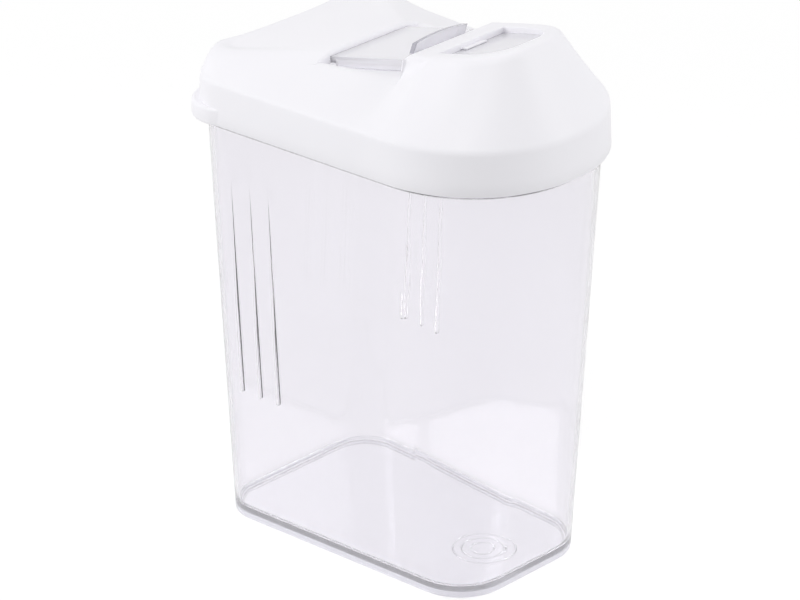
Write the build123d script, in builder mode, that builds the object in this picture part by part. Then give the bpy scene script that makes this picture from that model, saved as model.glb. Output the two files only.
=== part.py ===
# Dry food container with a pouring lid: a clear tapered box, a white push-on lid whose hood
# rises to a D-shaped spout, and a clear shutter that slides in the lid's track.
# Millimetres. +X points to the spout, +Z up. The origin is in the resting plane, under the
# middle of the closed container's outer box.
import os

from build123d import *

# container
base_rear = -76.7            # resting face
base_length = 136.8
base_rear_half = 45.6        # the sides draw in towards the front as the lid's do
base_rear_radius = 16.9
base_front_radius = 21.8
wall = 1.8
floor = 2.0
foot_height = 2.6            # the floor is raised on a ring
foot_width = 2.4
flare_gap = 3.0              # the wall steps out to the rim band just under the lid
flare_height = 3.5
flare_reach = 0.6
foot_bevel = 0.9
floor_bevel = 2.2

# stacking ribs on the container's long sides
rib_places = (-56.6, -46.5, -36.5)
rib_low = 63.0
rib_high = 166.0
rib_depth = 1.6
rib_width = 1.3
rib_root = 1.0               # sunk into the wall

# lid
lid_edge = 185.0             # height of the lid's lower edge
lid_front = 82.3
lid_rear_half = 60.1
lid_front_half = 52.1
lid_rear_radius = 18.2
lid_front_radius = 52.5
skirt_height = 18.5          # lower edge to the crease
skirt_draft = 0.7            # the skirt leans in this far up to the crease
skin = 2.0
fit_gap = 0.3                # clearance between the pieces
plug_wall = 1.4              # sealing ring that plugs into the container
plug_depth = 9.0             # below the crease
lip_reach = 3.0              # grip lip round the back
lip_height = 7.4
lip_front = -57.8

# hood
plateau_slope = 0.125        # rear top face
plateau_rise = 15.14         # above the crease, at X = 0
plateau_rear = -78.0
plateau_rear_half = 46.5
plateau_front_half = 21.2
plateau_radius = 6.0
facet_front = 28.7           # the rear flanks end here, at the crease
flank_half = 24.2            # the flanks meet the window here
edge_drop = 3.4              # and this far below the shutter's top
bridge_rear = 11.7
bridge_spread = 1.6          # the bridge is wider at its foot
bridge_foot = 8.0            # below the shutter's top
rim_rise = 2.6               # spout rim above the shutter's top
rim_width = 6.5

# track and mouth
track_slope = 0.24
track_rise = 16.39           # top of the shutter above the crease, at X = 0
window_rear = -29.6
throat = 8.0                 # the slot runs in behind the window this far
dish_slope = 0.75            # the window's sides open outwards above the flanks
dish_width = 20.0
mouth_rear = 26.9
mouth_front = 55.7
mouth_half = 19.0
mouth_radius = 14.0
tongue_half = 4.3            # tongue on the bridge that presses on the shutter
tongue_reach = 3.2
tongue_wall = 1.0
ledge = 1.4                  # rails and bed under the shutter
rail_inner = 19.6

# shutter
shutter_half = 22.2
shutter_rear = -35.8
shutter_front = 57.9
shutter_radius = 16.5
plate = 1.8
flange_height = 4.8          # from the plate's top
flange_wall = 1.5
flange_rear = -24.8
flange_front = 39.7
tab_foot = 4.9               # rear face of the thumb tab, at the plate
tab_lean = 3.4
tab_height = 5.8
tab_wall = 2.8
tab_half = 14.8
tab_round = 0.8

lid_rear = lip_reach - lid_front
crease = lid_edge + skirt_height
plateau_height = crease + plateau_rise
track_height = crease + track_rise
lid_taper = (lid_rear_half - lid_front_half) / (lid_front - lid_rear)
band_inset = skin + skirt_draft + fit_gap
wall_inset = band_inset + flare_reach
flare_top = lid_edge - flare_gap
flare_low = flare_top - flare_height
rim_top = crease - skin - fit_gap
floor_top = foot_height + floor
plug_inset = band_inset + wall + fit_gap
slot_half = shutter_half + fit_gap
slot_drop = flange_height + fit_gap
rim_half = mouth_half + rim_width
rim_front = mouth_front + rim_width
rim_radius = mouth_radius + rim_width
tab_tip = tab_foot + tab_lean
along = (1 + track_slope**2) ** 0.5


def outline(rear, front, rear_half, front_half, rear_radius, front_radius):
    """Four-cornered plan, rounded at its ends. A radius of 0 leaves corners sharp."""
    with BuildSketch() as plan:
        with BuildLine():
            Polyline((rear, -rear_half), (front, -front_half), (front, front_half), (rear, rear_half),
                     close=True)
        make_face()
        if rear_radius > 0:
            fillet(plan.vertices().group_by(Axis.X)[0], rear_radius)
        if front_radius > 0:
            fillet(plan.vertices().group_by(Axis.X)[-1], front_radius)
    return plan.sketch


def lid_half(x, inset):
    """Half width of the lid at a place, drawn in by inset."""
    return lid_rear_half - lid_taper * (x - lid_rear) - inset


def lid_outline(inset, rear=lid_rear, front=lid_front):
    """The lid's plan drawn in by inset, or a length of it. Only the lid's own ends are round."""
    rear_radius = 0
    front_radius = 0
    if rear == lid_rear:
        rear = lid_rear + inset
        rear_radius = lid_rear_radius - inset
    if front == lid_front:
        front = lid_front - inset
        front_radius = lid_front_radius - inset
    return outline(rear, front, lid_half(rear, inset), lid_half(front, inset), rear_radius, front_radius)


def between(low, high, height):
    """A size of the container's wall at a height, from its values at the foot and at the lid."""
    return low + (high - low) * height / lid_edge


def wall_half(x, height):
    """Half width of the container's outer wall."""
    return between(base_rear_half - lid_taper * (x - base_rear), lid_half(x, wall_inset), height)


def wall_outline(height, inset):
    """The container's plan at a height, drawn in by inset from its outer wall."""
    rear = between(base_rear, lid_rear + wall_inset, height) + inset
    front = between(base_rear + base_length, lid_front - wall_inset, height) - inset
    rear_radius = between(base_rear_radius, lid_rear_radius - wall_inset, height) - inset
    front_radius = between(base_front_radius, lid_front_radius - wall_inset, height) - inset
    return outline(rear, front, wall_half(rear, height) - inset, wall_half(front, height) - inset,
                   rear_radius, front_radius)


def track_outline(rear, front, half, radius):
    """Plan in the track's plane, rounded at the front. Lengths are measured along X."""
    return outline(rear * along, front * along, half, half, 0, radius)


def above(x, rise):
    """Height of the plane that lies this far above the shutter's top."""
    return track_height + track_slope * x + rise * along


def tilted(height, slope):
    """Plane that rises towards the spout and passes this height at X = 0."""
    return Plane((0, 0, height), x_dir=(1, 0, slope), z_dir=(-slope, 0, 1))


def flank_section(x, depth):
    """Section across the hood beside the window, drawn in by depth."""
    half, top = {
        window_rear: (plateau_front_half, plateau_height + plateau_slope * window_rear),
        bridge_rear: (flank_half, above(bridge_rear, -edge_drop)),
        facet_front: (rim_half, above(facet_front, rim_rise)),
    }[x]
    foot_half = lid_half(x, skirt_draft + depth)
    with BuildSketch() as section:
        with BuildLine():
            Polyline((-foot_half, crease - depth), (depth - half, top - depth), (half - depth, top - depth),
                     (foot_half, crease - depth), close=True)
        make_face()
    return section.sketch


def hood(depth):
    """The lid's outer form, drawn in by depth."""
    foot = crease - depth
    stretch = (1 + plateau_slope**2) ** 0.5
    with BuildPart() as form:
        with BuildSketch(Plane.XY.offset(lid_edge)):
            add(lid_outline(depth))
        with BuildSketch(Plane.XY.offset(foot)):
            add(lid_outline(skirt_draft + depth))
        loft(ruled=True)
        # rear flanks up to the plateau
        with BuildSketch(Plane.XY.offset(foot)):
            add(lid_outline(skirt_draft + depth, front=window_rear))
        with BuildSketch(tilted(plateau_height - depth, plateau_slope)):
            add(outline((plateau_rear + depth) * stretch, window_rear * stretch, plateau_rear_half - depth,
                        plateau_front_half - depth, plateau_radius - depth, 0))
        loft(ruled=True)
        # flanks beside the window, which steepen towards the spout
        for near, far in ((window_rear, bridge_rear), (bridge_rear, facet_front)):
            for x in (near, far):
                with BuildSketch(Plane.YZ.offset(x)):
                    add(flank_section(x, depth))
            loft(ruled=True)
        # spout
        with BuildSketch(Plane.XY.offset(foot)):
            add(lid_outline(skirt_draft + depth, rear=facet_front))
        with BuildSketch(tilted(above(0, rim_rise) - depth, track_slope)):
            add(track_outline(facet_front, rim_front - depth, rim_half - depth, rim_radius - depth))
        loft(ruled=True)
    return form.part


track = tilted(track_height, track_slope)

with BuildPart() as container:
    with BuildSketch(Plane.XY):
        add(wall_outline(0, foot_bevel))
    with BuildSketch(Plane.XY.offset(foot_bevel)):
        add(wall_outline(foot_bevel, 0))
    loft(ruled=True)
    with BuildSketch(Plane.XY.offset(foot_bevel)):
        add(wall_outline(foot_bevel, 0))
    with BuildSketch(Plane.XY.offset(flare_low)):
        add(wall_outline(flare_low, 0))
    loft(ruled=True)
    with BuildSketch(Plane.XY.offset(flare_low)):
        add(wall_outline(flare_low, 0))
    with BuildSketch(Plane.XY.offset(flare_top)):
        add(lid_outline(band_inset))
    loft(ruled=True)
    with BuildSketch(Plane.XY.offset(flare_top)):
        add(lid_outline(band_inset))
    extrude(amount=rim_top - flare_top)
    # inside
    with BuildSketch(Plane.XY.offset(floor_top)):
        add(wall_outline(floor_top, wall + floor_bevel))
    with BuildSketch(Plane.XY.offset(floor_top + floor_bevel)):
        add(wall_outline(floor_top + floor_bevel, wall))
    loft(ruled=True, mode=Mode.SUBTRACT)
    with BuildSketch(Plane.XY.offset(floor_top + floor_bevel)):
        add(wall_outline(floor_top + floor_bevel, wall))
    with BuildSketch(Plane.XY.offset(flare_low)):
        add(wall_outline(flare_low, wall))
    loft(ruled=True, mode=Mode.SUBTRACT)
    with BuildSketch(Plane.XY.offset(flare_low)):
        add(wall_outline(flare_low, wall))
    with BuildSketch(Plane.XY.offset(flare_top)):
        add(lid_outline(band_inset + wall))
    loft(ruled=True, mode=Mode.SUBTRACT)
    with BuildSketch(Plane.XY.offset(flare_top)):
        add(lid_outline(band_inset + wall))
    extrude(amount=rim_top - flare_top, mode=Mode.SUBTRACT)
    # hollow under the floor
    with BuildSketch(Plane.XY):
        add(wall_outline(0, foot_width))
    extrude(amount=foot_height, mode=Mode.SUBTRACT)
    # stacking ribs, deepest at the foot
    for x in rib_places:
        low_half = wall_half(x, rib_low)
        high_half = wall_half(x, rib_high)
        with BuildSketch(Plane.YZ.offset(x - rib_width / 2)):
            with BuildLine():
                Polyline((low_half - rib_root, rib_low), (low_half + rib_depth, rib_low),
                         (high_half, rib_high), (high_half - rib_root, rib_high), close=True)
            make_face()
            mirror(about=Plane.YZ)
        extrude(amount=rib_width)

# sections across the track: x runs along +Y, y up from the shutter's top
across = Plane((window_rear, 0, above(window_rear, 0)), x_dir=(0, 1, 0), z_dir=(1, 0, track_slope))
window_length = (bridge_rear - window_rear) * along
rail_length = (flange_front + skin - window_rear) * along
rail_foot = slot_drop + ledge
wall_face = slot_half + skin
dish_half = slot_half + dish_width
dish_rise = dish_width * dish_slope
bed_top = plate + fit_gap
bed_half = shutter_half - flange_wall - fit_gap

with BuildPart() as inner:
    # sealing ring that plugs into the container
    with BuildSketch(Plane.XY.offset(crease - plug_depth)):
        add(lid_outline(plug_inset))
        add(lid_outline(plug_inset + plug_wall), mode=Mode.SUBTRACT)
    extrude(amount=plateau_height - crease + plug_depth)
    # side walls of the window, which back its open sides
    with BuildSketch(across):
        with BuildLine():
            Polyline((slot_half, -rail_foot), (wall_face, -rail_foot), (wall_face, -edge_drop - skin),
                     (dish_half, dish_rise - edge_drop - skin), (dish_half, dish_rise),
                     (slot_half, dish_rise), close=True)
        make_face()
        mirror(about=Plane.YZ)
    extrude(amount=window_length)
    add(hood(skin / 2), mode=Mode.INTERSECT)

with BuildPart() as lid:
    add(hood(0))
    # bridge over the shutter
    with BuildSketch(tilted(above(0, -bridge_foot), track_slope)):
        add(track_outline(bridge_rear, facet_front, rim_half + bridge_spread, 0))
    with BuildSketch(tilted(above(0, rim_rise), track_slope)):
        add(track_outline(bridge_rear, facet_front, rim_half, 0))
    loft(ruled=True)
    add(hood(skin), mode=Mode.SUBTRACT)
    add(inner.part)
    # grip lip round the back
    with BuildSketch(Plane.XY.offset(lid_edge)):
        add(lid_outline(-lip_reach, front=lip_front))
        add(lid_outline(skin / 2, front=lip_front + skin), mode=Mode.SUBTRACT)
    extrude(amount=lip_height)
    # side walls of the track on under the bridge and the spout
    with BuildSketch(across.offset(window_length)):
        for side in (-1, 1):
            with Locations((side * (slot_half + skin / 2), rim_rise - skin / 2)):
                Rectangle(skin, rim_rise - skin / 2 + rail_foot, align=(Align.CENTER, Align.MAX))
    extrude(amount=rail_length - window_length)
    # window: open above the shutter, wider above the flanks
    with BuildSketch(across):
        with BuildLine():
            Polyline((-slot_half, -slot_drop), (-slot_half, -edge_drop),
                     (-dish_half, dish_rise - edge_drop), (dish_half, dish_rise - edge_drop),
                     (slot_half, -edge_drop), (slot_half, -slot_drop), close=True)
        make_face()
    extrude(amount=window_length, mode=Mode.SUBTRACT)
    # slot under the plateau, the bridge and the spout
    with BuildSketch(track.offset(-slot_drop)):
        add(track_outline(window_rear - throat, shutter_front + fit_gap, slot_half,
                          shutter_radius + fit_gap))
    extrude(amount=slot_drop + fit_gap, mode=Mode.SUBTRACT)
    # rails under the shutter's sides
    with BuildSketch(across):
        for side in (-1, 1):
            with Locations((side * rail_inner, -slot_drop)):
                Rectangle(slot_half + skin - rail_inner, ledge,
                          align=(Align.MIN if side > 0 else Align.MAX, Align.MAX))
    extrude(amount=rail_length)
    # bed under the shutter in the window, with its side walls down to the rails
    with BuildSketch(across):
        with Locations((0, -bed_top)):
            Rectangle(2 * bed_half, rail_foot - bed_top, align=(Align.CENTER, Align.MAX))
        with Locations((0, -bed_top - ledge)):
            Rectangle(2 * (bed_half - ledge), rail_foot, align=(Align.CENTER, Align.MAX),
                      mode=Mode.SUBTRACT)
    extrude(amount=window_length + skin)
    # mouth, and the tongue on the bridge that presses on the shutter
    with BuildSketch(track):
        add(track_outline(mouth_rear, mouth_front, mouth_half, mouth_radius))
    extrude(amount=2 * rim_rise, mode=Mode.SUBTRACT)
    with BuildSketch(track.offset(fit_gap)):
        add(track_outline(mouth_rear - skin, mouth_rear + tongue_reach, tongue_half, 0))
    extrude(amount=tongue_wall)

with BuildPart() as shutter:
    with BuildSketch(track):
        add(track_outline(shutter_rear, shutter_front, shutter_half, shutter_radius))
    extrude(amount=-plate)
    # side flanges that run in the rails
    with BuildSketch(track):
        for side in (-1, 1):
            with Locations((flange_rear * along, side * (shutter_half - flange_wall / 2))):
                Rectangle((flange_front - flange_rear) * along, flange_wall,
                          align=(Align.MIN, Align.CENTER))
    extrude(amount=-flange_height)
    # thumb tab against the bridge
    with BuildSketch(Plane.XZ.offset(-tab_half)):
        with BuildLine():
            Polyline((tab_foot, above(tab_foot, -plate / 2)),
                     (tab_foot + tab_wall, above(tab_foot + tab_wall, -plate / 2)),
                     (tab_tip + tab_wall, above(tab_tip + tab_wall, tab_height)),
                     (tab_tip, above(tab_tip, tab_height)), close=True)
        make_face()
    extrude(amount=2 * tab_half)
    tips = shutter.edges().filter_by(lambda edge: abs(abs(edge.center().Y) - tab_half) < 0.01)
    fillet(tips.sort_by(lambda edge: track.to_local_coords(edge.center()).Z)[-2:], tab_round)

os.makedirs("parts", exist_ok=True)
container.part.label = "container"
export_step(container.part, "parts/container.step")
lid.part.label = "lid"
export_step(lid.part, "parts/lid.step")
shutter.part.label = "shutter"
export_step(shutter.part, "parts/shutter.step")
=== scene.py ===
import math

import bpy
from mathutils import Matrix, Vector


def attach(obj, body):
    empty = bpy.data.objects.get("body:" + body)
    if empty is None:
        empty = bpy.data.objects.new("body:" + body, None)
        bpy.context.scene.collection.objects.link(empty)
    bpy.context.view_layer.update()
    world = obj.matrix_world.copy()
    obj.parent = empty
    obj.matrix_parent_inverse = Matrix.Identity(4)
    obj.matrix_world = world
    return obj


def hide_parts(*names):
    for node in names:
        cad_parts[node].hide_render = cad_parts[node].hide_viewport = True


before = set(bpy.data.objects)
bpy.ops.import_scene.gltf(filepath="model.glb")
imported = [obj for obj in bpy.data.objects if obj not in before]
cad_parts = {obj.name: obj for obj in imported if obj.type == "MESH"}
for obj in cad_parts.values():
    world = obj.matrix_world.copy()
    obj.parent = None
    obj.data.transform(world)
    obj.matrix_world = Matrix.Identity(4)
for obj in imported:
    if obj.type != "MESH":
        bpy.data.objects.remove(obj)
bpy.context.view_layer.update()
print("frame loaded")


def hexColour(code):                                    # sRGB hex to linear
    parts = [int(code[i:i + 2], 16) / 255 for i in (1, 3, 5)]
    return tuple(p / 12.92 if p <= 0.04045 else ((p + 0.055) / 1.055) ** 2.4 for p in parts) + (1.0,)


def addNode(tree, kind, settings={}, values={}, links={}):
    node = tree.nodes.new(kind)
    for key, value in settings.items():
        setattr(node, key, value)
    for key, value in values.items():
        node.inputs[key].default_value = value
    for key, source in links.items():
        tree.links.new(source, node.inputs[key])
    return node


def pick(*pieces):                                      # select these alone
    if bpy.context.object and bpy.context.object.mode != "OBJECT":
        bpy.ops.object.mode_set(mode="OBJECT")
    bpy.ops.object.select_all(action="DESELECT")
    for piece in pieces:
        piece.select_set(True)
    if pieces:
        bpy.context.view_layer.objects.active = pieces[0]


def applyModifier(piece, kind, **settings):
    pick(piece)
    bpy.ops.object.modifier_add(type=kind)
    modifier = piece.modifiers[-1]
    for key, value in settings.items():
        setattr(modifier, key, value)
    bpy.ops.object.modifier_apply(modifier=modifier.name)


def layGrid(name, rows):                                # a grid whose points are laid over rows of places
    pick()
    across, along = len(rows[0]) - 1, len(rows) - 1
    bpy.ops.mesh.primitive_grid_add(x_subdivisions=across, y_subdivisions=along, size=2)
    piece = bpy.context.object
    piece.name = name
    for vertex in piece.data.vertices:
        i = round((vertex.co.x + 1) / 2 * across)
        j = round((vertex.co.y + 1) / 2 * along)
        vertex.co = Vector(rows[j][i]) * 0.001
    return piece


def joinAs(name, pieces):
    pick(*pieces)
    bpy.ops.object.join()
    pieces[0].name = name
    return pieces[0]


def weld(piece, gap=0.01):                              # merge doubles, drop faces with no area
    pick(piece)
    bpy.ops.object.mode_set(mode="EDIT")
    bpy.ops.mesh.select_all(action="SELECT")
    bpy.ops.mesh.remove_doubles(threshold=gap * 0.001)
    bpy.ops.mesh.dissolve_degenerate(threshold=0.000001)
    bpy.ops.mesh.normals_make_consistent(inside=False)
    bpy.ops.object.mode_set(mode="OBJECT")


def mirrorHalf(piece):                                  # the other half, across the middle plane
    applyModifier(piece, "MIRROR", use_axis=(False, True, False), use_clip=True, merge_threshold=0.00002)
    weld(piece)


def shadeSoft(piece, angle):
    pick(piece)
    bpy.ops.object.shade_smooth_by_angle(angle=math.radians(angle))


def lerp(a, b, t):
    return a + (b - a) * t


def between(a, b, steps):                               # points from a up to b, without b
    return [tuple(Vector(a).lerp(Vector(b), k / steps)) for k in range(steps)]


def softCorner(before, corner, after, reach, steps):    # points round a soft corner
    a, b, c = Vector(before), Vector(corner), Vector(after)
    most = 0.96                                         # of a neighbouring stretch
    start = b + (a - b).normalized() * min(reach, (a - b).length * most)
    end = b + (c - b).normalized() * min(reach, (c - b).length * most)
    spots = [k / steps for k in range(steps + 1)]
    return [tuple(start * (1 - t) ** 2 + b * 2 * t * (1 - t) + end * t * t) for t in spots]


def rounding(count):                                    # shares pulled back and dropped round a quarter circle
    turns = [k * math.pi / (2 * count) for k in range(count + 1)]
    return [(1 - math.sin(turn), 1 - math.cos(turn)) for turn in turns]


def makeBlock(name, low, high, soften=0.0, steps=2):    # a block with softened edges
    pick()
    bpy.ops.mesh.primitive_cube_add(size=1, location=[(a + b) / 2000 for a, b in zip(low, high)])
    piece = bpy.context.object
    piece.name = name
    piece.scale = [(b - a) / 1000 for a, b in zip(low, high)]
    bpy.ops.object.transform_apply(location=True, rotation=True, scale=True)
    if soften:
        applyModifier(piece, "BEVEL", width=soften * 0.001, segments=steps, limit_method="ANGLE")
    return piece


track = {"slope": 0.24, "height": 219.89, "windowRear": -29.6, "bridgeRear": 15.0, "slotHalf": 22.5,
         "gap": 0.04, "foot": -6.5}                     # height: the shutter's top at X = 0
trackAlong = math.hypot(1, track["slope"])


def aboveTrack(x, rise):                                # height of a place this far above the shutter's top
    return track["height"] + track["slope"] * x + rise * trackAlong


def tiltToTrack(piece):                                 # from a flat layout to the shutter's plane
    pick(piece)
    piece.rotation_euler = (0, -math.atan(track["slope"]), 0)
    piece.location = (0, 0, track["height"] * 0.001)
    bpy.ops.object.transform_apply(location=True, rotation=True, scale=True)


lid = {
    "edge": 185.0, "crease": 203.5, "rear": -79.3, "front": 82.3, "rearHalf": 60.1, "taper": 0.0495,
    "rearRadius": 18.2, "frontRadius": 52.5, "draft": 0.7, "wall": 2.0, "creaseSoft": 1.6,
    "plateauHeight": 218.64, "plateauSlope": 0.125, "plateauRear": -78.0, "plateauRearHalf": 47.0,
    "plateauHalf": 21.2, "plateauRadius": 9.0, "plateauSoft": 3.0, "plateauInset": 5.0,
    "plateauCrown": 0.7, "crownFade": 34.0, "crownMargin": 0.5, "rearBulge": 2.8,
    "turnHalf": 31.5, "turnShare": 0.77,                # the flank's profiles differ above this turn
    "ridgeHalf": 28.6, "ridgeSoft": 3.0, "edgeDrop": 4.7, "flankDrop": 4.0, "flankHalf": 24.2, "riserSoft": 1.7,
    "rimRise": 2.6, "rimHalf": 25.5, "rimRadius": 20.5, "rimSoft": 1.9, "noseSoft": 3.2,
    "spoutCentre": 41.7, "noseFlat": 5.0,
    "facet": 28.7, "bridgeSpread": 0.151, "bridgeSoft": 1.1, "bridgeBlend": 5.0,
    "mouthRear": 26.9, "mouthHalf": 19.0, "mouthRadius": 14.0, "mouthSoft": 0.5,
}


def sideHalf(x, inset=0.0):                             # the lid's half width on its straight sides
    return lid["rearHalf"] - lid["taper"] * (x - lid["rear"]) - inset


sideTilt = math.atan(lid["taper"])


def rearArc(inset, t):                                  # t from 0 on the rear edge to 1 on the side
    radius = lid["rearRadius"]
    x = lid["rear"] + radius
    y = sideHalf(x) - radius / math.cos(sideTilt)
    turn = math.pi - t * (math.pi / 2 + sideTilt)
    return x + (radius - inset) * math.cos(turn), y + (radius - inset) * math.sin(turn)


def frontPlan(inset, t):                                # t from 0 at the facet's X, on the side, to 1 at the nose
    radius = lid["frontRadius"]
    x = lid["front"] - radius
    y = sideHalf(x) - radius / math.cos(sideTilt)
    startX = x + (radius - inset) * math.sin(sideTilt)
    straight = (startX - lid["facet"]) / math.cos(sideTilt)
    sweep = math.pi / 2 - sideTilt
    arc = radius * sweep
    place = t * (straight + arc + y)
    if place < straight:
        x0 = lerp(lid["facet"], startX, place / straight)
        return x0, sideHalf(x0, inset)
    if place < straight + arc:
        turn = (1 - (place - straight) / arc) * sweep
        return x + (radius - inset) * math.cos(turn), y + (radius - inset) * math.sin(turn)
    return lid["front"] - inset, max(0.0, straight + arc + y - place)


def plateauZ(x, y, half):                               # the rear top face, slightly crowned
    fade = min(1.0, max(0.0, (track["windowRear"] - x) / lid["crownFade"]))
    crown = lid["plateauCrown"] * fade * (1 - min(1.0, abs(y) / half) ** 2)
    return lid["plateauHeight"] + lid["plateauSlope"] * x + crown


def plateauHalfAt(x):
    share = (x - track["windowRear"]) / (lid["plateauRear"] - track["windowRear"])
    return lerp(lid["plateauHalf"], lid["plateauRearHalf"], share)


plateauLean = math.atan((lid["plateauRearHalf"] - lid["plateauHalf"]) /
                        (track["windowRear"] - lid["plateauRear"]))


def plateauArc(inset, t):                               # the top face's rear corner
    radius = lid["plateauRadius"]
    x = lid["plateauRear"] + radius
    y = plateauHalfAt(x) - radius / math.cos(plateauLean)
    turn = math.pi - t * (math.pi / 2 + plateauLean)
    return x + (radius - inset) * math.cos(turn), y + (radius - inset) * math.sin(turn)


def plateauSide(inset, t):                              # from the rear corner's end to the window
    startX, startY = plateauArc(inset, 1)
    x = lerp(startX, track["windowRear"], t)
    return x, plateauHalfAt(x) - inset / math.cos(plateauLean)


steps = {"rear": 9, "corner": 10, "side": 9, "window": 10, "bridge": 5, "nose": 26,
         "crease": 6, "flank": 7, "ledge": 10, "edge": 6}
skirtCount = 5 + steps["crease"] + 1                    # points of a profile up to its crease
profileCount = skirtCount + steps["flank"] - 1 + steps["ledge"] + steps["edge"] + 1
upperEdge = profileCount - 1 - steps["edge"] // 2       # the middle point of a profile's soft upper edge


def skirtPart(outer, inner, corner, after, reach):      # lower edge, skirt wall and soft crease
    x0, y0 = outer
    lean = Vector((inner[0] - x0, inner[1] - y0, 0))
    pull = lean.normalized()
    low = [(x0 + pull.x * 0.5, y0 + pull.y * 0.5, lid["edge"]),
           (x0 + pull.x * 0.15, y0 + pull.y * 0.15, lid["edge"] + 0.15),
           (x0, y0, lid["edge"] + 0.5)]
    bend = softCorner(low[-1], corner, after, reach, steps["crease"])
    return low + between(low[-1], bend[0], 3)[1:] + bend


def bulged(points, first, last, amount):                # push a run of points out along the flank's normal
    if amount == 0:
        return points
    a, b = Vector(first), Vector(last)
    chord = b - a
    flat = Vector((chord.x, chord.y, 0)).normalized()
    out = Vector((-flat.x * chord.z, -flat.y * chord.z, Vector((chord.x, chord.y)).length)).normalized()
    moved = []
    for point in points:
        t = min(1.0, max(0.0, (Vector(point) - a).dot(chord) / chord.length_squared))
        moved.append(tuple(Vector(point) + out * amount * 4 * t * (1 - t)))
    return moved


def plateauRow(kind, t):                                # one profile of the rear part, skirt to inside the top
    inset = lid["plateauInset"]
    if kind == "rear":                                  # across the rear edge, t from the middle to the corner
        yTop, yLow, yIn = (f(i, 0)[1] * t for f, i in ((plateauArc, 0), (rearArc, 0), (plateauArc, inset)))
        outer, low = (lid["rear"], yLow), (lid["rear"] + lid["draft"], yLow)
        top, inside = (lid["plateauRear"], yTop), (lid["plateauRear"] + inset, yIn)
    elif kind == "corner":
        outer, low = rearArc(0, t), rearArc(lid["draft"], t)
        top, inside = plateauArc(0, t), plateauArc(inset, t)
    else:                                               # along the side
        cornerX = rearArc(0, 1)[0]
        x = lerp(cornerX, track["windowRear"], t)
        outer, low = (x, sideHalf(x)), (x, sideHalf(x, lid["draft"]))
        top, inside = plateauSide(0, t), plateauSide(inset, t)
    half = plateauHalfAt(top[0]) + lid["crownMargin"]
    p1 = (*low, lid["crease"])
    p2 = (*top, plateauZ(*top, half))
    p3 = (*inside, plateauZ(*inside, half))
    amount = {"rear": lid["rearBulge"] * lerp(0.2, 1, t ** 3), "corner": lid["rearBulge"],
              "side": lerp(lid["rearBulge"], 0, min(1, t * 1.3))}[kind]
    skirt = skirtPart(outer, low, p1, p2, lid["creaseSoft"])
    edge = softCorner(p1, p2, p3, lid["plateauSoft"], steps["edge"])
    turn = tuple(Vector(skirt[-1]).lerp(Vector(edge[0]), lid["turnShare"]))
    flank = between(skirt[-1], turn, steps["flank"])[1:] + between(turn, edge[0], steps["ledge"]) + edge
    flank = bulged(flank, skirt[-1], edge[-1], amount)
    return skirt + flank + [p3]


def flankTop(x):                                        # where the flank's plane would end, beside the window
    t = (x - track["windowRear"]) / (track["bridgeRear"] - track["windowRear"])
    if t <= 1:
        rearZ = lid["plateauHeight"] + lid["plateauSlope"] * track["windowRear"]
        frontZ = aboveTrack(track["bridgeRear"], -lid["flankDrop"])
        return lerp(lid["plateauHalf"], lid["flankHalf"], t), lerp(rearZ, frontZ, t)
    t = (x - track["bridgeRear"]) / (lid["facet"] - track["bridgeRear"])
    low = aboveTrack(track["bridgeRear"], -lid["flankDrop"])
    return lerp(lid["flankHalf"], lid["rimHalf"], t), lerp(low, aboveTrack(lid["facet"], lid["rimRise"]), t)


def windowRow(x):                                       # profile beside the window, down to the rails
    outer, low = (x, sideHalf(x)), (x, sideHalf(x, lid["draft"]))
    p1 = (*low, lid["crease"])
    topY, topZ = flankTop(x)
    fall = (topZ - lid["crease"]) / (low[1] - topY)
    slotZ = aboveTrack(x, -lid["edgeDrop"])
    slotY = track["slotHalf"]
    p2 = (x, lid["ridgeHalf"], topZ - fall * (lid["ridgeHalf"] - topY))
    p3 = (x, slotY, slotZ)
    turn = (x, lid["turnHalf"], topZ - fall * (lid["turnHalf"] - topY))
    skirt = skirtPart(outer, low, p1, p2, lid["creaseSoft"])
    ridge = softCorner(turn, p2, p3, lid["ridgeSoft"], 4)
    edge = softCorner(ridge[-1], p3, (x, slotY, slotZ - 3), 0.4, 3)
    edge[-1] = (x, slotY, slotZ - 0.4)
    rows = skirt + between(skirt[-1], turn, steps["flank"])[1:] + [turn] + ridge + edge
    while len(rows) < skirtCount + steps["flank"] + steps["ledge"]:
        rows.insert(skirtCount + steps["flank"] + 5, tuple((Vector(ridge[-1]) + Vector(edge[0])) / 2))
    return rows


def bridgeRow(x):                                       # profile over the bridge, to where the mouth's corner is
    outer, low = (x, sideHalf(x)), (x, sideHalf(x, lid["draft"]))
    p1 = (*low, lid["crease"])
    topY, topZ = flankTop(x)
    fall = (topZ - lid["crease"]) / (low[1] - topY)
    rimZ = aboveTrack(x, lid["rimRise"])
    spread = lid["bridgeSpread"]                        # the bridge's side leans out this much per mm down
    footY = (lid["rimHalf"] + spread * (rimZ - topZ - fall * topY)) / (1 - spread * fall)
    foot = (x, footY, topZ - fall * (footY - topY))
    p2 = (x, lid["rimHalf"], rimZ)
    p3 = (x, 0, rimZ)
    turn = (x, lid["turnHalf"], topZ - fall * (lid["turnHalf"] - topY))
    skirt = skirtPart(outer, low, p1, turn, lid["creaseSoft"])
    edge = softCorner(foot if footY > lid["rimHalf"] + 0.05 else turn, p2, p3, lid["rimSoft"], steps["edge"])
    if footY > lid["rimHalf"] + 0.3:
        blend = softCorner(turn, foot, edge[0], lid["bridgeBlend"], steps["ledge"] - 1)
        ledge = [turn] + blend[:steps["ledge"] - 1]
    else:
        ledge = between(turn, edge[0], steps["ledge"])
    return skirt + between(skirt[-1], turn, steps["flank"])[1:] + ledge + edge


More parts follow.
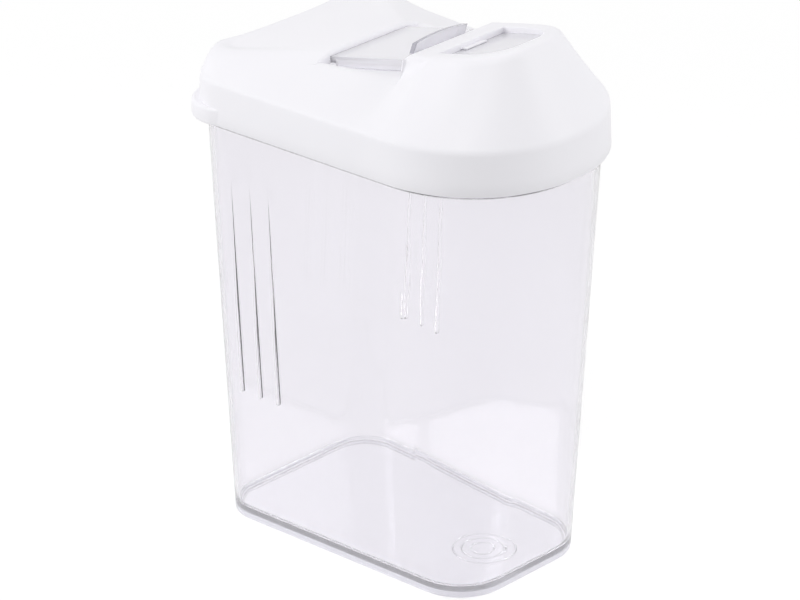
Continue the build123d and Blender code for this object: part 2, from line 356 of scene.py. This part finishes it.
def spoutPlan(t, half, radius):                         # spout or mouth from above, t from the facet to the nose
    centre, flat = lid["spoutCentre"], lid["noseFlat"]
    straight = centre - lid["facet"]
    arc = 0.5 * math.pi * lid["rimRadius"]
    place = t * (straight + arc + flat)
    if place < straight:
        return lid["facet"] + place, half
    if place < straight + arc:
        turn = math.pi / 2 * (1 - (place - straight) / arc)
        return centre + radius * math.cos(turn), flat + radius * math.sin(turn)
    return centre + radius, flat * (1 - (place - straight - arc) / flat)


def noseRow(t):                                         # profile from skirt to mouth, t from the facet to the nose
    outer, low = frontPlan(0, t), frontPlan(lid["draft"], t)
    inset = lid["rimHalf"] - lid["mouthHalf"] - lid["mouthSoft"]
    top = spoutPlan(t, lid["rimHalf"], lid["rimRadius"])
    inside = spoutPlan(t, lid["rimHalf"] - inset, lid["rimRadius"] - inset)
    p1 = (*low, lid["crease"])
    p2 = (*top, aboveTrack(top[0], lid["rimRise"]))
    p3 = (*inside, aboveTrack(inside[0], lid["rimRise"]))
    skirt = skirtPart(outer, low, p1, p2, lid["creaseSoft"])
    soft = lerp(lid["rimSoft"], lid["noseSoft"], min(1.0, t * 2))
    edge = softCorner(p1, p2, p3, soft, steps["edge"])
    turn = tuple(Vector(skirt[-1]).lerp(Vector(edge[0]), lid["turnShare"]))
    return skirt + between(skirt[-1], turn, steps["flank"])[1:] + between(turn, edge[0], steps["ledge"]) + edge


def mouthPoints(t):                                     # the mouth's edge, rounded over and down to the slot
    points = []
    for back, drop in [(lid["mouthSoft"] * b, lid["mouthSoft"] * d) for b, d in rounding(3)]:
        x, y = spoutPlan(t, lid["mouthHalf"] + back, lid["mouthRadius"] + back)
        points.append((x, y, aboveTrack(x, lid["rimRise"] - drop)))
    x, y = spoutPlan(t, lid["mouthHalf"], lid["mouthRadius"])
    points.append((x, y, aboveTrack(x, track["gap"])))
    return points


def drawnIn(row, amounts):                              # a cross profile offset towards the inside
    moved = []
    for k, point in enumerate(row):
        amount = amounts[k]
        if amount == 0:
            moved.append(point)
            continue
        before, after = row[max(k - 1, 0)], row[min(k + 1, len(row) - 1)]
        dy, dz = after[1] - before[1], after[2] - before[2]
        size = math.hypot(dy, dz) or 1.0
        moved.append((point[0], point[1] + dz / size * amount, point[2] - abs(dy) / size * amount))
    return moved


def acrossTop(row):                                     # carry a rear profile on to the middle plane
    x, y, z = row[-1]
    half = plateauHalfAt(row[upperEdge][0]) + lid["crownMargin"]
    shares = [1 - k / steps["rear"] for k in range(1, steps["rear"] + 1)]
    return row + [(x, y * s, plateauZ(x, y * s, half)) for s in shares]


bridgeSpots = (track["slotHalf"], lid["mouthHalf"] + lid["mouthSoft"], 14.5, 9.5, 5.0, 0.0)


def acrossBridge(x):                                    # the same over the bridge, at the mouth's places
    return bridgeRow(x) + [(x, y, aboveTrack(x, lid["rimRise"])) for y in bridgeSpots]


def slotEdge(x, points):                                # points brought down to the slot that the shutter runs in
    return [(x, min(track["slotHalf"], p[1]), aboveTrack(x, track["gap"])) for p in points]


def fadedIn(amount, count, run):                        # nothing on the skirt and flank, then up to the full amount
    first = skirtCount + steps["flank"]
    return [amount * min(1.0, max(0, k - first + 1) / run) for k in range(count)]


def rearRegion():                                       # top face and corners, down into the window
    cornerRows = [plateauRow("corner", k / steps["corner"]) for k in range(steps["corner"] + 1)]
    sideRows = [plateauRow("side", k / steps["side"]) for k in range(1, steps["side"])]
    lastRow = acrossTop(plateauRow("side", 1))
    soft = fadedIn(lid["riserSoft"], len(lastRow), 5)
    sideRun = 42                                        # mm along the side for t from 0 to 1
    riser = []
    for back, drop in rounding(4):
        pulled = [r * back for r in soft]
        row = [acrossTop(plateauRow("side", 1 - pull / sideRun))[i] if pull else lastRow[i]
               for i, pull in enumerate(pulled)]
        riser.append(drawnIn(row, [r * drop for r in soft]))
    firstWindow = windowRow(track["windowRear"])
    below = firstWindow + slotEdge(track["windowRear"], lastRow[len(firstWindow):])
    return cornerRows, sideRows, [acrossTop(row) for row in cornerRows + sideRows] + riser + [below]


def bridgeRegion():                                     # up from the window, over the bridge to the mouth
    soft = fadedIn(lid["bridgeSoft"], profileCount + len(bridgeSpots), 4)
    bridge = []
    for back, drop in reversed(rounding(4)):
        row = [acrossBridge(track["bridgeRear"] + r * back)[i] for i, r in enumerate(soft)]
        bridge.append(drawnIn(row, [r * drop for r in soft]))
    lastWindow = windowRow(track["bridgeRear"])
    bridge.insert(0, lastWindow + slotEdge(track["bridgeRear"], bridge[0][len(lastWindow):]))
    start, end = track["bridgeRear"] + lid["bridgeSoft"], lid["mouthRear"] - lid["mouthSoft"]
    return bridge + [acrossBridge(lerp(start, end, k / steps["bridge"])) for k in range(1, steps["bridge"] + 1)]


def mouthBack():                                        # the mouth's straight rear edge
    spots = bridgeSpots[1:]
    rows = []
    for back, drop in [(lid["mouthSoft"] * b, lid["mouthSoft"] * d) for b, d in rounding(3)]:
        x = lid["mouthRear"] - back
        widest = lid["mouthHalf"] + back
        rows.append([(x, y * widest / spots[0], aboveTrack(x, lid["rimRise"] - drop)) for y in spots])
    x = lid["mouthRear"]
    rows.append([(x, y * lid["mouthHalf"] / spots[0], aboveTrack(x, track["gap"])) for y in spots])
    return rows


def buildHood():                                        # the lid's outer face, one half, then mirrored
    rearRows = [plateauRow("rear", k / steps["rear"]) for k in range(steps["rear"] + 1)]
    cornerRows, sideRows, rearTop = rearRegion()
    windowRows = []
    for k in range(steps["window"] + 1):
        x = lerp(track["windowRear"], track["bridgeRear"], k / steps["window"])
        windowRows.append(windowRow(x) + [(x, track["slotHalf"], aboveTrack(x, track["foot"]))])
    bridge, back = bridgeRegion(), mouthBack()
    nose = [bridge[-1][:profileCount + 1] + [row[0] for row in back]]
    for k in range(steps["nose"] + 1):
        t = k / steps["nose"]
        row, mouth = noseRow(t), mouthPoints(t)
        middle = tuple((Vector(row[-1]) + Vector(mouth[0])) / 2)
        nose.append(row + [middle] + mouth)

    regions = (("rearEdge", rearRows), ("rearTop", rearTop), ("besideWindow", windowRows), ("bridge", bridge),
               ("mouthBack", back), ("nose", nose))
    hood = joinAs("lid", [layGrid(name, rows) for name, rows in regions])
    weld(hood)
    mirrorHalf(hood)
    top = max(hood.data.polygons, key=lambda face: face.center.z)
    if top.normal.z < 0:                                # the wall is to be thickened inwards
        pick(hood)
        bpy.ops.object.mode_set(mode="EDIT")
        bpy.ops.mesh.select_all(action="SELECT")
        bpy.ops.mesh.flip_normals()
        bpy.ops.object.mode_set(mode="OBJECT")
    applyModifier(hood, "SOLIDIFY", thickness=lid["wall"] * 0.001, offset=-1)
    return hood, rearRows + cornerRows[1:] + sideRows + [plateauRow("side", 1)], nose


lip = {"reach": 3.0, "height": 7.4, "front": -57.8, "fadeFrom": 0.45, "endReach": 0.6, "sunk": -0.4,
       "soft": 1.5, "lowShare": 0.6, "root": -1.0, "lift": 0.02}


def buildLip():                                         # grip lip round the back, faded out at its ends
    plan = [("rear", k / 6) for k in range(7)] + [("corner", k / 10) for k in range(1, 11)]
    rows = []
    for kind, t in plan + [("side", k / 6) for k in range(1, 7)]:
        reach = lip["reach"]
        if kind == "rear":
            inner, outer = [(lid["rear"] - g, rearArc(0, 0)[1] * t) for g in (-1, 1)]
        elif kind == "corner":
            inner, outer = rearArc(1, t), rearArc(-1, t)
            faded = max(0.0, t - lip["fadeFrom"]) / (1 - lip["fadeFrom"])
            reach = lerp(lip["endReach"], reach, math.cos(math.pi / 2 * faded))
        else:
            x = lerp(rearArc(0, 1)[0], lip["front"] + 1, t)
            inner, outer = (x, sideHalf(x, 1)), (x, sideHalf(x, -1))
            reach = lerp(lip["endReach"], lip["sunk"], t)
        start = Vector(((inner[0] + outer[0]) / 2, (inner[1] + outer[1]) / 2))
        out = (Vector(outer) - start).normalized()
        low, high = lid["edge"] + lip["lift"], lid["edge"] + lip["height"]
        soft = min(lip["soft"], reach + 0.9)
        lowSoft = soft * lip["lowShare"]
        profile = [(lip["root"], low)]
        profile += [(reach - lowSoft * back, low + lowSoft * drop) for back, drop in rounding(5)]
        profile += [(reach - soft * back, high - soft * drop) for back, drop in reversed(rounding(5))]
        profile.append((lip["root"], high))
        rows.append([(start.x + out.x * p[0], start.y + out.y * p[0], p[1]) for p in profile])
    piece = layGrid("lip", rows)
    mirrorHalf(piece)
    return piece


plug = {                                                # outer, inner and tip: how far in from the lid's outline
    "outer": 5.1, "inner": 6.5, "below": 1.2, "clear": 1.6,
    "tip": ((5.1, 196.2), (5.35, 195.0), (5.8, 194.5), (6.25, 195.0), (6.5, 196.2)),
}


def buildPlug(rows):                                    # sealing ring that plugs into the container
    ring = []
    for row in rows:
        outer, low, top = Vector(row[2]), Vector(row[skirtCount - 1]), Vector(row[upperEdge])
        pull = Vector((row[0][0] - row[2][0], row[0][1] - row[2][1])).normalized()
        run = math.hypot(top.x - low.x, top.y - low.y) or 0.1
        rise = (top.z - lid["crease"]) / run
        underFlank = lid["crease"] + plug["outer"] * rise - plug["below"] * math.hypot(1, rise)
        height = min(underFlank, top.z - plug["clear"])
        spots = [(plug["outer"], height), *plug["tip"], (plug["inner"], height)]
        ring.append([(outer.x + pull.x * d, outer.y + pull.y * d, z) for d, z in spots])
    piece = layGrid("plug", ring)
    mirrorHalf(piece)
    return piece


rails = {                                               # from and to: half widths, low and high: above the track
    "wall": {"from": 22.5, "to": 24.5, "low": -6.5, "high": 1.6, "soft": 0.2},
    "rail": {"from": 19.6, "to": 24.4, "low": -6.5, "high": -5.1, "soft": 0.25},
    "bedSide": {"from": 19.0, "to": 20.4, "low": -6.4, "high": -2.5, "soft": 0.2},
    "bed": {"half": 20.4, "low": -3.5, "high": -2.1, "soft": 0.25, "rearward": 9.0, "forward": 2.0},
    "tongue": {"half": 6.0, "low": 0.1, "high": 0.9, "soft": 0.3, "rearward": 2.0, "forward": 3.0},
}


def buildTrack():                                       # side walls, rails, bed and tongue, in the shutter's plane
    k = trackAlong
    rear, bridgeRear, front = track["windowRear"] * k, track["bridgeRear"] * k, lid["spoutCentre"] * k
    bed, tongue = rails["bed"], rails["tongue"]
    bedFront = bridgeRear + bed["forward"]
    parts = []
    for side in (-1, 1):
        for name, start, end in (("wall", bridgeRear, front), ("rail", rear, front), ("bedSide", rear, bedFront)):
            part = rails[name]
            y = sorted((side * part["from"], side * part["to"]))
            parts.append(makeBlock(name, (start, y[0], part["low"]), (end, y[1], part["high"]), part["soft"]))
    parts.append(makeBlock("bed", (rear - bed["rearward"], -bed["half"], bed["low"]),
                           (bedFront, bed["half"], bed["high"]), bed["soft"]))
    parts.append(makeBlock("tongue", ((lid["mouthRear"] - tongue["rearward"]) * k, -tongue["half"], tongue["low"]),
                           ((lid["mouthRear"] + tongue["forward"]) * k, tongue["half"], tongue["high"]),
                           tongue["soft"], 3))
    inside = joinAs("trackParts", parts)
    tiltToTrack(inside)
    return inside


hood, rearProfiles, noseProfiles = buildHood()
windowProfiles = [windowRow(lerp(track["windowRear"], track["bridgeRear"], k / 4)) for k in range(1, 5)]
bridgeProfiles = [bridgeRow(x) for x in (17.0, 22.0)]
plugRows = rearProfiles + [row + [row[-1]] * 12 for row in windowProfiles] + bridgeProfiles + noseProfiles
lidPiece = joinAs("lid", [hood, buildLip(), buildPlug(plugRows), buildTrack()])
shadeSoft(lidPiece, 32)
print("lid made", len(lidPiece.data.polygons), "faces")


container = {
    "rear": -76.7, "length": 136.8, "rearHalf": 45.6, "taper": 0.0495, "rearRadius": 16.9, "frontRadius": 21.8,
    "wall": 1.8, "floor": 4.6, "floorSoft": 2.4, "foot": 2.6, "footWidth": 2.4, "top": 201.2,
    "flare": (182.6, 182.8, 182.95, 183.15, 183.3, 183.5), "bandInset": 3.0, "wallInset": 3.6, "lidEdge": 185.0,
    "ribPlaces": (-56.6, -46.5, -36.5), "ribLow": 63.0, "ribHigh": 166.0, "ribDepth": 1.6, "ribWidth": 1.3,
    "ribSoft": 0.25, "ringPlace": (34.8, 0.0), "ringSizes": (5.0, 9.0, 12.8), "ringThick": 0.4,
}
boxSteps = {"rear": 5, "rearCorner": 12, "side": 6, "frontCorner": 16, "front": 5}


def upTheWall(z):                                       # share of the way to the lid's edge, and half width there
    box = container
    share = min(z, box["flare"][0]) / box["lidEdge"]
    return share, lerp(box["rearHalf"] + box["taper"] * box["rear"], sideHalf(0, box["wallInset"]), share)


def boxPlan(z, inset):                                  # half of the container's plan, rear middle to front middle
    box = container
    share, half = upTheWall(z)
    rearEnd, frontEnd = lid["rear"] + box["wallInset"], lid["front"] - box["wallInset"]
    rear = lerp(box["rear"], rearEnd, share)
    front = lerp(box["rear"] + box["length"], frontEnd, share)
    rearRadius = lerp(box["rearRadius"], lid["rearRadius"] - box["wallInset"], share)
    frontRadius = lerp(box["frontRadius"], lid["frontRadius"] - box["wallInset"], share)
    flareLow, flareTop = box["flare"][0], box["flare"][-1]
    if z > flareLow:                                    # eased out to the rim band
        t = min(1.0, (z - flareLow) / (flareTop - flareLow))
        t = t * t * (3 - 2 * t)
        band = box["bandInset"]
        rear, front = lerp(rear, lid["rear"] + band, t), lerp(front, lid["front"] - band, t)
        half = lerp(half, sideHalf(0, band), t)
        rearRadius = lerp(rearRadius, lid["rearRadius"] - band, t)
        frontRadius = lerp(frontRadius, lid["frontRadius"] - band, t)
    rear, front, half = rear + inset, front - inset, half - inset / math.cos(sideTilt)
    rearRadius, frontRadius = rearRadius - inset, frontRadius - inset
    rearX, frontX = rear + rearRadius, front - frontRadius
    rearY = half - box["taper"] * rearX - rearRadius / math.cos(sideTilt)
    frontY = half - box["taper"] * frontX - frontRadius / math.cos(sideTilt)
    count = boxSteps
    points = [(rear, rearY * k / count["rear"]) for k in range(count["rear"])]
    for k in range(count["rearCorner"] + 1):
        turn = math.pi - (math.pi / 2 + sideTilt) * k / count["rearCorner"]
        points.append((rearX + rearRadius * math.cos(turn), rearY + rearRadius * math.sin(turn)))
    start, end = points[-1][0], frontX + frontRadius * math.sin(sideTilt)
    along = [lerp(start, end, k / count["side"]) for k in range(1, count["side"])]
    points += [(x, half - box["taper"] * x) for x in along]
    for k in range(count["frontCorner"] + 1):
        turn = (math.pi / 2 - sideTilt) * (1 - k / count["frontCorner"])
        points.append((frontX + frontRadius * math.cos(turn), frontY + frontRadius * math.sin(turn)))
    points += [(front, frontY * (1 - k / count["front"])) for k in range(1, count["front"] + 1)]
    return [(x, y, z) for x, y in points]


def boxProfile():                                       # inset and height, from the recess below to the floor inside
    box = container
    wall, floor, foot, width, top = (box[k] for k in ("wall", "floor", "foot", "footWidth", "top"))
    heights = [20.0, 60.0, 110.0, 155.0, *box["flare"], 190.0]
    profile = [(width + 1.8, foot), (width + 0.8, foot), (width + 0.35, foot - 0.1), (width + 0.08, foot - 0.4),
               (width, foot - 0.8), (width, 0.5), (width - 0.15, 0.15), (width - 0.5, 0.0), (1.3, 0.0),
               (0.75, 0.12), (0.3, 0.42), (0.06, 0.85), (0.0, 1.4), (0.0, 4.0)]
    profile += [(0.0, z) for z in heights]
    profile += [(0.0, top - 0.7), (0.12, top - 0.3), (0.4, top - 0.06), (0.75, top), (wall - 0.75, top),
                (wall - 0.4, top - 0.06), (wall - 0.12, top - 0.3), (wall, top - 0.7)]
    profile += [(wall, z) for z in reversed(heights)] + [(wall, 8.5)]
    soft = box["floorSoft"]
    profile += [(wall + soft * drop, floor + soft * back) for back, drop in rounding(6)]
    return profile + [(wall + soft + 1.0, floor)]


def buildRib(x, side):                                  # stacking rib, deep in its lower half, flush at its top
    box = container
    low, high, halfWidth = box["ribLow"], box["ribHigh"], box["ribWidth"] / 2
    rib = makeBlock("rib", (x - halfWidth, 0, low), (x + halfWidth, 1, high))
    for vertex in rib.data.vertices:
        z = vertex.co.z * 1000
        face = upTheWall(z)[1] - box["taper"] * x
        reach = box["ribDepth"] if z < (low + high) / 2 else -0.05
        vertex.co.y = side * (face + (reach if vertex.co.y > 0.0005 else -0.9)) * 0.001
    weld(rib, 0.001)
    applyModifier(rib, "BEVEL", width=box["ribSoft"] * 0.001, segments=2, limit_method="ANGLE")
    return rib


def buildContainer():
    box = container
    piece = layGrid("container", [boxPlan(z, inset) for inset, z in boxProfile()])
    mirrorHalf(piece)
    pick(piece)
    bpy.ops.object.mode_set(mode="EDIT")
    bpy.ops.mesh.select_all(action="SELECT")
    bpy.ops.mesh.fill_holes(sides=0)                    # floor, inside and underneath
    bpy.ops.mesh.normals_make_consistent(inside=False)
    bpy.ops.object.mode_set(mode="OBJECT")

    extras = [buildRib(x, side) for x in box["ribPlaces"] for side in (-1, 1)]
    for radius in box["ringSizes"]:                     # plain moulded rings under the floor
        pick()
        place = (*box["ringPlace"], box["foot"])
        bpy.ops.mesh.primitive_torus_add(location=[c * 0.001 for c in place], major_radius=radius * 0.001,
                                         minor_radius=box["ringThick"] * 0.001, major_segments=72, minor_segments=8)
        bpy.ops.object.transform_apply(location=True, rotation=True, scale=True)
        extras.append(bpy.context.object)
    for extra in extras:
        applyModifier(piece, "BOOLEAN", operation="UNION", solver="EXACT", object=extra)
        bpy.data.objects.remove(extra)
    shadeSoft(piece, 34)
    return piece


containerPiece = buildContainer()
print("container made", len(containerPiece.data.polygons), "faces")


shutter = {"half": 22.2, "rear": -35.8, "front": 57.9, "radius": 16.5, "plate": 1.8, "flange": 4.8,
           "flangeWall": 1.5, "flangeRear": -27.4, "flangeFront": 39.7, "rooted": -0.9, "soft": 0.35,
           "tabFoot": 6.1, "tabLean": 3.4, "tabHeight": 5.8, "tabCrown": 1.2, "tabWall": 2.8, "tabHalf": 14.8,
           "topFrom": 3.8, "endFrom": 1.0}


def buildTab():                                         # leans towards the spout, its top edge crowned
    part, k = shutter, trackAlong
    foot = part["tabFoot"] * k
    tab = makeBlock("tab", (foot, -part["tabHalf"], part["rooted"]),
                    (foot + part["tabWall"] * k, part["tabHalf"], part["tabHeight"]))
    pick(tab)
    bpy.ops.object.mode_set(mode="EDIT")
    for share in (0, -0.35, -0.65, -0.88, 0.35, 0.65, 0.88):
        bpy.ops.mesh.select_all(action="SELECT")
        bpy.ops.mesh.bisect(plane_co=(0, share * part["tabHalf"] * 0.001, 0), plane_no=(0, 1, 0))
    bpy.ops.object.mode_set(mode="OBJECT")
    for vertex in tab.data.vertices:
        if vertex.co.z > 0.003:
            vertex.co.x += part["tabLean"] * k * 0.001
            vertex.co.z -= part["tabCrown"] * (vertex.co.y * 1000 / part["tabHalf"]) ** 2 * 0.001
    return tab


def buildShutter():                                     # laid flat first, then turned into the track's plane
    part, k = shutter, trackAlong
    plate = makeBlock("shutter", (part["rear"] * k, -part["half"], -part["plate"]),
                      (part["front"] * k, part["half"], 0))
    pick(plate)
    bpy.ops.object.mode_set(mode="EDIT")
    bpy.ops.mesh.select_mode(type="EDGE")
    bpy.ops.mesh.select_all(action="DESELECT")
    bpy.ops.object.mode_set(mode="OBJECT")
    for edge in plate.data.edges:                       # the two upright edges at the front
        a, b = (plate.data.vertices[v].co for v in edge.vertices)
        edge.select = abs(a.z - b.z) > 0.001 and a.x > 0
    bpy.ops.object.mode_set(mode="EDIT")
    bpy.ops.mesh.bevel(offset=part["radius"] * 0.001, segments=14, profile=0.5)
    bpy.ops.object.mode_set(mode="OBJECT")
    extras = []
    for side in (-1, 1):
        y = sorted((side * part["half"], side * (part["half"] - part["flangeWall"])))
        extras.append(makeBlock("flange", (part["flangeRear"] * k, y[0], -part["flange"]),
                                (part["flangeFront"] * k, y[1], part["rooted"])))
    for extra in extras + [buildTab()]:
        applyModifier(plate, "BOOLEAN", operation="UNION", solver="EXACT", object=extra)
        bpy.data.objects.remove(extra)
    applyModifier(plate, "BEVEL", width=part["soft"] * 0.001, segments=3, limit_method="ANGLE",
                  angle_limit=math.radians(40))
    weld(plate, 0.001)
    tiltToTrack(plate)
    shadeSoft(plate, 40)
    for face in plate.data.polygons:                    # large flat faces keep their own normal
        face.use_smooth = face.area < 0.00002
    return plate


shutterPiece = buildShutter()
print("shutter made", len(shutterPiece.data.polygons), "faces")


def startMaterial(name, colour, **sockets):
    material = bpy.data.materials.new(name)
    material.use_nodes = True
    shader = material.node_tree.nodes["Principled BSDF"]
    shader.inputs["Base Color"].default_value = hexColour(colour)
    for key, value in sockets.items():
        shader.inputs[key.replace("_", " ")].default_value = value
    return material, shader


def satinPolypropylene():                               # moulded in a fine-sparked tool: soft wide highlights
    material, shader = startMaterial("satinPolypropylene", "#f1f0f6", Roughness=0.3, IOR=1.49)
    tree = material.node_tree
    place = addNode(tree, "ShaderNodeTexCoord")
    cloud = addNode(tree, "ShaderNodeTexNoise", values={"Scale": 28.0, "Detail": 2.0},
                    links={"Vector": place.outputs["Object"]})          # about 35 mm, flow in the moulding
    tone = addNode(tree, "ShaderNodeMix", settings={"data_type": "RGBA"}, values={"A": hexColour("#f0eff4"),
                   "B": hexColour("#f4f3f7")}, links={"Factor": cloud.outputs["Fac"]})
    tree.links.new(tone.outputs["Result"], shader.inputs["Base Color"])
    grain = addNode(tree, "ShaderNodeTexNoise", values={"Scale": 2500.0, "Detail": 2.0},
                    links={"Vector": place.outputs["Object"]})          # 0.4 mm, spark grain drawn coarse to show
    gloss = addNode(tree, "ShaderNodeMapRange", values={"To Min": 0.36, "To Max": 0.44},
                    links={"Value": grain.outputs["Fac"]})
    tree.links.new(gloss.outputs["Result"], shader.inputs["Roughness"])
    bump = addNode(tree, "ShaderNodeBump", values={"Strength": 0.06, "Distance": 0.0001},
                   links={"Height": grain.outputs["Fac"]})
    tree.links.new(bump.outputs["Normal"], shader.inputs["Normal"])
    return material


def clearStyrene(name, colour, clarity, matt=0.02, waves=0.02):         # clear and polished, with slight flow waves
    material, shader = startMaterial(name, colour, Roughness=matt, IOR=1.55)
    shader.inputs["Transmission Weight"].default_value = clarity
    tree = material.node_tree
    path = addNode(tree, "ShaderNodeLightPath")
    cast = addNode(tree, "ShaderNodeMapRange", values={"To Min": 1.0, "To Max": 0.06},
                   links={"Value": path.outputs["Is Shadow Ray"]})      # a clear wall casts hardly any shadow
    tree.links.new(cast.outputs["Result"], shader.inputs["Alpha"])
    place = addNode(tree, "ShaderNodeTexCoord")
    flow = addNode(tree, "ShaderNodeTexNoise", values={"Scale": 55.0, "Detail": 1.0},
                   links={"Vector": place.outputs["Object"]})           # about 18 mm
    bump = addNode(tree, "ShaderNodeBump", values={"Strength": waves, "Distance": 0.0003},
                   links={"Height": flow.outputs["Fac"]})
    tree.links.new(bump.outputs["Normal"], shader.inputs["Normal"])
    return material


def finishPiece(piece, materials, body, node):
    piece.data.materials.clear()
    for material in materials:
        piece.data.materials.append(material)
    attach(piece, body)
    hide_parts(node)


finishPiece(lidPiece, [satinPolypropylene()], "lid_body", "lid")

clearBody = clearStyrene("clearStyreneBody", "#fefdff", 0.95, waves=0.015)
# a lightly frosted copy of the clear plastic, paler and partly diffuse: painted light for the foot and underside
frostedFootPaintedLight = clearStyrene("frostedStyreneFootPaintedLight", "#efeef4", 0.76, matt=0.08)
finishPiece(containerPiece, [clearBody, frostedFootPaintedLight], "container_body", "container")
for face in containerPiece.data.polygons:               # the foot and the underside are lightly frosted, and made paler and partly diffuse: painted light that lightens the dark band at the base
    face.material_index = 1 if face.center.z < 0.0041 else 0

clearShutter = clearStyrene("clearStyreneShutter", "#f4f3f7", 0.45)
# a darker copy of the clear plastic for the tab's top and end faces: painted shade
paintedShadeEdge = clearStyrene("clearStyrenePaintedShade", "#bab9c1", 0.5)
# a paler, less clear copy for the plate's flat top: painted light in place of the shaded hollow under the clear
# plate
paintedLightPlate = clearStyrene("styrenePlatePaintedLight", "#efeef3", 0.3, matt=0.08)
finishPiece(shutterPiece, [clearShutter, paintedShadeEdge, paintedLightPlate], "shutter_body", "shutter")
for face in shutterPiece.data.polygons:                 # the tab's top and end faces get a darker copy of the plastic: painted shade for how clear edges look dark
    rise = face.center.z * 1000 - aboveTrack(face.center.x * 1000, 0)
    onTop = rise > shutter["topFrom"] and face.normal.z > 0.7
    onEnd = rise > shutter["endFrom"] and abs(face.normal.y) > 0.7
    # the plate's flat top gets the paler copy: painted light
    onPlate = abs(rise) < 0.3 and face.normal.z > 0.9
    face.material_index = 1 if onTop or onEnd else 2 if onPlate else 0
print("finishes given")


def joinNodes(tree, operation, values={}, links={}):    # a Math node
    return addNode(tree, "ShaderNodeMath", settings={"operation": operation}, values=values, links=links).outputs[0]


def whoSees(tree):                                      # the light path, and 1 for camera, glossy and clear rays
    light = addNode(tree, "ShaderNodeLightPath").outputs
    seen = joinNodes(tree, "MAXIMUM", links={0: light["Is Camera Ray"], 1: light["Is Glossy Ray"]})
    return light, joinNodes(tree, "MAXIMUM", links={0: seen, 1: light["Is Transmission Ray"]})


studio = {"glow": 0.28, "cameraGlow": 0.12, "inside": 0.8, "nearFloor": 0.25, "farFloor": 0.8, "ambient": 0.66}


def paintFloor():                                       # pale near the object, running into the white backdrop
    material, shader = startMaterial("paintedFloor", "#cfcfcf", Roughness=0.9)
    tree = material.node_tree
    light, seen = whoSees(tree)
    direct = joinNodes(tree, "MULTIPLY", values={1: studio["cameraGlow"]}, links={0: light["Is Camera Ray"]})
    glow = joinNodes(tree, "MULTIPLY_ADD", values={1: studio["glow"]}, links={0: seen, 2: direct})
    shader.inputs["Emission Color"].default_value = (1, 1, 1, 1)
    tree.links.new(glow, shader.inputs["Emission Strength"])
    place = addNode(tree, "ShaderNodeTexCoord")
    away = addNode(tree, "ShaderNodeVectorMath", settings={"operation": "LENGTH"},
                   links={0: place.outputs["Object"]})
    fade = addNode(tree, "ShaderNodeMapRange", settings={"interpolation_type": "SMOOTHSTEP"},
                   values={"From Min": studio["nearFloor"], "From Max": studio["farFloor"]},
                   links={"Value": away.outputs["Value"]})
    far = joinNodes(tree, "MULTIPLY", links={0: fade.outputs["Result"], 1: seen})
    pale = addNode(tree, "ShaderNodeEmission", values={"Color": hexColour("#eeedf2")})
    inside = joinNodes(tree, "MULTIPLY", values={1: studio["inside"]},
                       links={0: light["Is Transmission Ray"]})         # evenly lit where seen through the plastic
    near = addNode(tree, "ShaderNodeMixShader", links={0: inside, 1: shader.outputs[0], 2: pale.outputs[0]})
    white = addNode(tree, "ShaderNodeEmission")
    both = addNode(tree, "ShaderNodeMixShader", links={0: far, 1: near.outputs[0], 2: white.outputs[0]})
    tree.links.new(both.outputs[0], tree.nodes["Material Output"].inputs["Surface"])
    return material


def makeStudio():
    pick()
    bpy.ops.mesh.primitive_circle_add(vertices=96, radius=6, fill_type="NGON", location=(0, 0, -0.0002))
    floor = bpy.context.object
    floor.name = "studioFloor"
    floor.data.materials.append(paintFloor())

    world = bpy.data.worlds.new("studio")
    bpy.context.scene.world = world
    world.use_nodes = True
    tree = world.node_tree
    strength = addNode(tree, "ShaderNodeMapRange", values={"To Min": studio["ambient"], "To Max": 1.0},
                       links={"Value": whoSees(tree)[1]})
    tree.links.new(strength.outputs["Result"], tree.nodes["Background"].inputs["Strength"])
    tree.nodes["Background"].inputs["Color"].default_value = (1, 1, 1, 1)


lamps = (                                               # name, place, width, height, watts, seen in reflections
    ("nearBox", (-0.95, -1.36, 1.0), 0.9, 0.9, 12.5, False),
    ("farBox", (1.36, 0.95, 1.0), 0.9, 0.9, 8.0, False),
    ("farStrip", (1.36, 0.95, 1.0), 0.2, 0.9, 1.8, True),
    ("topBox", (0.62, -0.9, 1.7), 0.4, 0.4, 3.2, True),
)


def lightStudio():
    target = Vector((0, 0, 0.15))
    for name, place, width, height, watts, mirrored in lamps:
        pick()
        bpy.ops.object.light_add(type="AREA", location=place)
        lamp = bpy.context.object
        lamp.name = name
        lamp.data.shape = "RECTANGLE"
        lamp.data.size, lamp.data.size_y = width, height
        lamp.data.energy = watts
        lamp.visible_glossy = mirrored
        lamp.rotation_euler = (target - Vector(place)).to_track_quat("-Z", "Y").to_euler()


makeStudio()
lightStudio()
print("studio lit")

camera = {"place": (1.1634, -1.2304, 0.9054), "turn": 133.709, "pitch": -25.264, "roll": -0.170, "lens": 204.9}
pick()
bpy.ops.object.camera_add(location=camera["place"])
view = bpy.context.object
view.rotation_mode = "QUATERNION"
view.rotation_quaternion = (Matrix.Rotation(math.radians(camera["turn"] - 90), 3, "Z")
                            @ Matrix.Rotation(math.radians(90 + camera["pitch"]), 3, "X")
                            @ Matrix.Rotation(math.radians(camera["roll"]), 3, "Z")).to_quaternion()
view.data.lens = camera["lens"]
view.data.sensor_width = 36
bpy.context.scene.camera = view
bpy.context.scene.view_settings.view_transform = "Standard"
